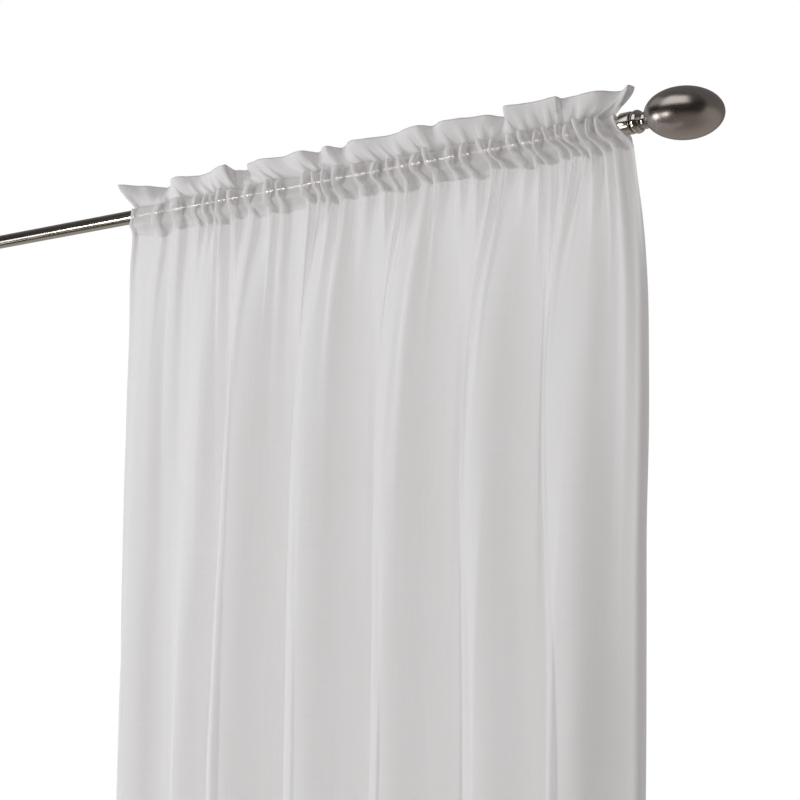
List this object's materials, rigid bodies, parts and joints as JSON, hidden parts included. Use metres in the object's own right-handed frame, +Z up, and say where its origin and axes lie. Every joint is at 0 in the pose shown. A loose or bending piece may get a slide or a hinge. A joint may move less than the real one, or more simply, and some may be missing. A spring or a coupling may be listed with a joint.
{
  "type": "sheer voile curtain on rod",
  "caption": "Sheer white voile curtain panel gathered by its rod pocket, with an upright ruffled header, on a round metal rod with an oval finial.",
  "frame": {"origin": "on the rod's axis, at the middle of the gathered cloth, where the wall's brackets hold the rod's line", "axes": "+Z up along the drop, +X along the rod towards the finial, -Y towards the room"},
  "size_m": [1.1202, 0.0886, 2.1349],
  "materials": {
    "voile": "white see-through plain weave, slightly crisp, matt",
    "polished_nickel": "polished nickel plate",
    "satin_nickel": "satin nickel plate"
  },
  "bodies": {
    "root": {"curtain": "voile", "rod_tube": "polished_nickel", "end_cap": "polished_nickel", "finial_socket": "polished_nickel", "finial_neck": "polished_nickel", "finial_knob": "satin_nickel"}
  },
  "joints": []
}
